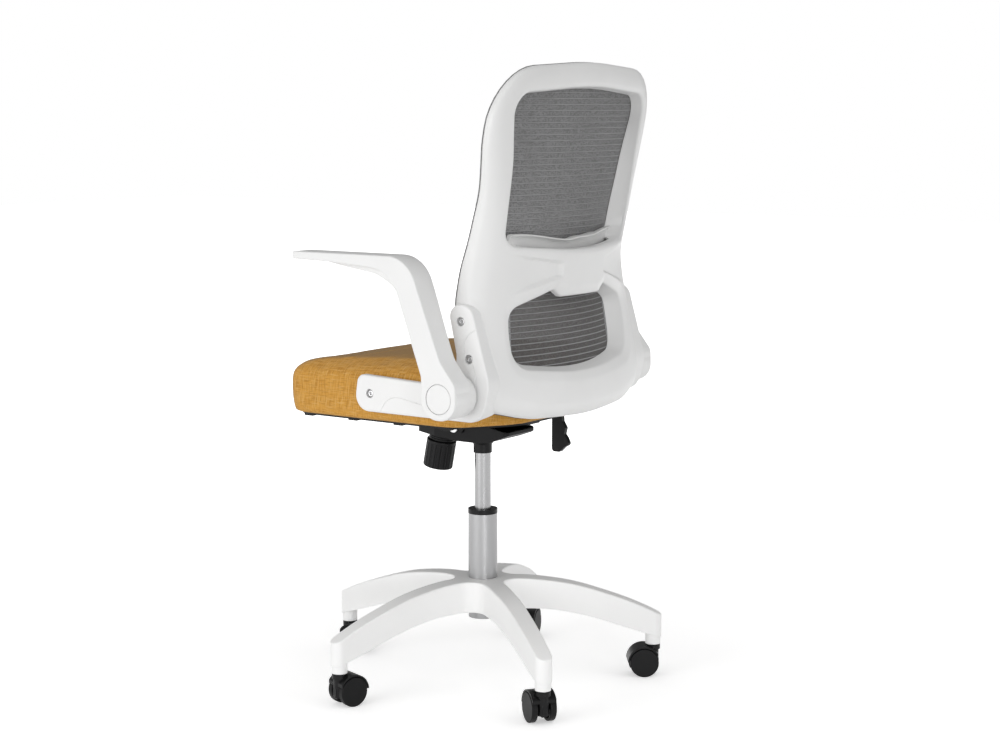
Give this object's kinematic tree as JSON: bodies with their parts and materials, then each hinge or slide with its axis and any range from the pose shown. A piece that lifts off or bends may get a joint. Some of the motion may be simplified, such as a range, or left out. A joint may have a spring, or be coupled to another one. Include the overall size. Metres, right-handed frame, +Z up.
{
  "type": "mesh office chair",
  "caption": "Swivel task chair with a mesh back in a white shell, ochre cloth seat, flip-up arms, gas lift, tilt mechanism and a star base on casters.",
  "frame": {"origin": "on the floor below the column's axis", "axes": "+Z up, the chair faces -Y, the sitter's left is +X"},
  "size_m": [0.6006, 0.5711, 1.0573],
  "materials": {
    "white_nylon": "satin, moulded",
    "lumbar_nylon": "satin, moulded",
    "base_nylon": "satin, moulded",
    "black_nylon": "satin, moulded",
    "caster_nylon": "satin, moulded",
    "wheel_nylon": "satin, moulded",
    "black_coat": "powder coated",
    "silver_tube": "silver coated, satin",
    "silver_rod": "silver coated, satin",
    "bright_steel": "plated",
    "pan_board": "bare plywood",
    "seat_cloth": "woven cloth over foam",
    "mesh_cloth": "stretched knitted mesh"
  },
  "bodies": {
    "base": {"star_base": "base_nylon", "lift_outer_tube": "silver_tube", "lift_guide_bush": "black_nylon", "caster_stems": "bright_steel"},
    "lift_rod": {"lift_piston_rod": "bright_steel", "lift_retaining_clip": "bright_steel", "lift_thrust_bearing": "bright_steel"},
    "mechanism": {"lift_gas_cylinder": "silver_rod", "lift_cover_sleeve": "black_nylon", "mechanism_housing": "black_coat", "tilt_pivot_pin": "bright_steel", "tension_spring": "bright_steel", "tension_nut": "bright_steel"},
    "release_button": {"lift_release_button": "bright_steel"},
    "lever": {"height_lever": "black_coat", "lever_paddle": "black_nylon"},
    "knob": {"tension_knob": "black_nylon", "tension_bolt": "bright_steel"},
    "seat": {"mechanism_top_plate": "black_coat", "seat_pan": "pan_board", "seat_cushion": "seat_cloth", "seat_underside_cover": "black_nylon", "seat_bolts": "black_coat", "left_bracket": "white_nylon", "right_bracket": "white_nylon", "left_bracket_screws": "bright_steel", "right_bracket_screws": "bright_steel", "left_arm_pivot_pin": "bright_steel", "right_arm_pivot_pin": "bright_steel", "back_frame": "white_nylon", "mesh_frame": "white_nylon", "mesh_panel": "mesh_cloth"},
    "left_armrest": {"left_arm": "white_nylon", "left_arm_pivot_cap": "white_nylon"},
    "right_armrest": {"right_arm": "white_nylon", "right_arm_pivot_cap": "white_nylon"},
    "lumbar": {"lumbar_pad": "lumbar_nylon"},
    "caster_1": {"caster_1_housing": "caster_nylon", "caster_1_axle": "bright_steel"},
    "wheel_1_left": {"caster_1_wheel_left": "wheel_nylon"},
    "wheel_1_right": {"caster_1_wheel_right": "wheel_nylon"},
    "caster_2": {"caster_2_housing": "caster_nylon", "caster_2_axle": "bright_steel"},
    "wheel_2_left": {"caster_2_wheel_left": "wheel_nylon"},
    "wheel_2_right": {"caster_2_wheel_right": "wheel_nylon"},
    "caster_3": {"caster_3_housing": "caster_nylon", "caster_3_axle": "bright_steel"},
    "wheel_3_left": {"caster_3_wheel_left": "wheel_nylon"},
    "wheel_3_right": {"caster_3_wheel_right": "wheel_nylon"},
    "caster_4": {"caster_4_housing": "caster_nylon", "caster_4_axle": "bright_steel"},
    "wheel_4_left": {"caster_4_wheel_left": "wheel_nylon"},
    "wheel_4_right": {"caster_4_wheel_right": "wheel_nylon"},
    "caster_5": {"caster_5_housing": "caster_nylon", "caster_5_axle": "bright_steel"},
    "wheel_5_left": {"caster_5_wheel_left": "wheel_nylon"},
    "wheel_5_right": {"caster_5_wheel_right": "wheel_nylon"}
  },
  "joints": [
    {"name": "caster_1_swivel", "type": "hinge", "parent": "base", "child": "caster_1", "pos_m": [0, -0.297, 0.07], "axis": [0, 0, 1], "continuous": true},
    {"name": "caster_1_wheel_left_spin", "type": "hinge", "parent": "caster_1", "child": "wheel_1_left", "pos_m": [0, -0.281, 0.025], "axis": [1, 0, 0], "continuous": true},
    {"name": "caster_1_wheel_right_spin", "type": "hinge", "parent": "caster_1", "child": "wheel_1_right", "pos_m": [0, -0.281, 0.025], "axis": [1, 0, 0], "continuous": true},
    {"name": "caster_2_swivel", "type": "hinge", "parent": "base", "child": "caster_2", "pos_m": [0.28246, -0.09178, 0.07], "axis": [0, 0, 1], "continuous": true},
    {"name": "caster_2_wheel_left_spin", "type": "hinge", "parent": "caster_2", "child": "wheel_2_left", "pos_m": [0.26725, -0.08683, 0.025], "axis": [0.309, 0.9511, 0], "continuous": true},
    {"name": "caster_2_wheel_right_spin", "type": "hinge", "parent": "caster_2", "child": "wheel_2_right", "pos_m": [0.26725, -0.08683, 0.025], "axis": [0.309, 0.9511, 0], "continuous": true},
    {"name": "caster_3_swivel", "type": "hinge", "parent": "base", "child": "caster_3", "pos_m": [0.17457, 0.24028, 0.07], "axis": [0, 0, 1], "continuous": true},
    {"name": "caster_3_wheel_left_spin", "type": "hinge", "parent": "caster_3", "child": "wheel_3_left", "pos_m": [0.16517, 0.22733, 0.025], "axis": [-0.809, 0.5878, 0], "continuous": true},
    {"name": "caster_3_wheel_right_spin", "type": "hinge", "parent": "caster_3", "child": "wheel_3_right", "pos_m": [0.16517, 0.22733, 0.025], "axis": [-0.809, 0.5878, 0], "continuous": true},
    {"name": "caster_4_swivel", "type": "hinge", "parent": "base", "child": "caster_4", "pos_m": [-0.17457, 0.24028, 0.07], "axis": [0, 0, 1], "continuous": true},
    {"name": "caster_4_wheel_left_spin", "type": "hinge", "parent": "caster_4", "child": "wheel_4_left", "pos_m": [-0.16517, 0.22733, 0.025], "axis": [-0.809, -0.5878, 0], "continuous": true},
    {"name": "caster_4_wheel_right_spin", "type": "hinge", "parent": "caster_4", "child": "wheel_4_right", "pos_m": [-0.16517, 0.22733, 0.025], "axis": [-0.809, -0.5878, 0], "continuous": true},
    {"name": "caster_5_swivel", "type": "hinge", "parent": "base", "child": "caster_5", "pos_m": [-0.28246, -0.09178, 0.07], "axis": [0, 0, 1], "continuous": true},
    {"name": "caster_5_wheel_left_spin", "type": "hinge", "parent": "caster_5", "child": "wheel_5_left", "pos_m": [-0.26725, -0.08683, 0.025], "axis": [0.309, -0.9511, 0], "continuous": true},
    {"name": "caster_5_wheel_right_spin", "type": "hinge", "parent": "caster_5", "child": "wheel_5_right", "pos_m": [-0.26725, -0.08683, 0.025], "axis": [0.309, -0.9511, 0], "continuous": true},
    {"name": "column_swivel", "type": "hinge", "parent": "base", "child": "lift_rod", "pos_m": [0, 0, 0.11], "axis": [0, 0, 1], "continuous": true},
    {"name": "lift_slide", "type": "slide", "parent": "lift_rod", "child": "mechanism", "axis": [0, 0, 1], "range_m": [-0.09, 0]},
    {"name": "lever_lift", "type": "hinge", "parent": "mechanism", "child": "lever", "pos_m": [-0.044, 0.008, 0.4502], "axis": [0, 1, 0], "range_deg": [0, 2.5], "stiffness_Nm_per_rad": 2, "springref_deg": -5.73},
    {"name": "button_press", "type": "slide", "parent": "mechanism", "child": "release_button", "axis": [0, 0, 1], "range_m": [-0.003, 0]},
    {"name": "knob_turn", "type": "hinge", "parent": "mechanism", "child": "knob", "pos_m": [0, -0.084, 0.426], "axis": [0, 0.1908, 0.9816], "continuous": true},
    {"name": "tilt", "type": "hinge", "parent": "mechanism", "child": "seat", "pos_m": [0, -0.025, 0.443], "axis": [-1, 0, 0], "range_deg": [0, 12], "stiffness_Nm_per_rad": 60, "springref_deg": -20.05},
    {"name": "left_arm_flip", "type": "hinge", "parent": "seat", "child": "left_armrest", "pos_m": [0.27, 0.126, 0.533], "axis": [-1, 0, 0], "range_deg": [0, 90]},
    {"name": "right_arm_flip", "type": "hinge", "parent": "seat", "child": "right_armrest", "pos_m": [-0.27, 0.126, 0.533], "axis": [-1, 0, 0], "range_deg": [0, 90]},
    {"name": "lumbar_slide", "type": "slide", "parent": "seat", "child": "lumbar", "axis": [0, 0, 1], "range_m": [-0.012, 0.012]}
  ],
  "couplings": [
    {"joint": "button_press", "follows": "lever_lift", "m_per_rad": -0.046}
  ]
}
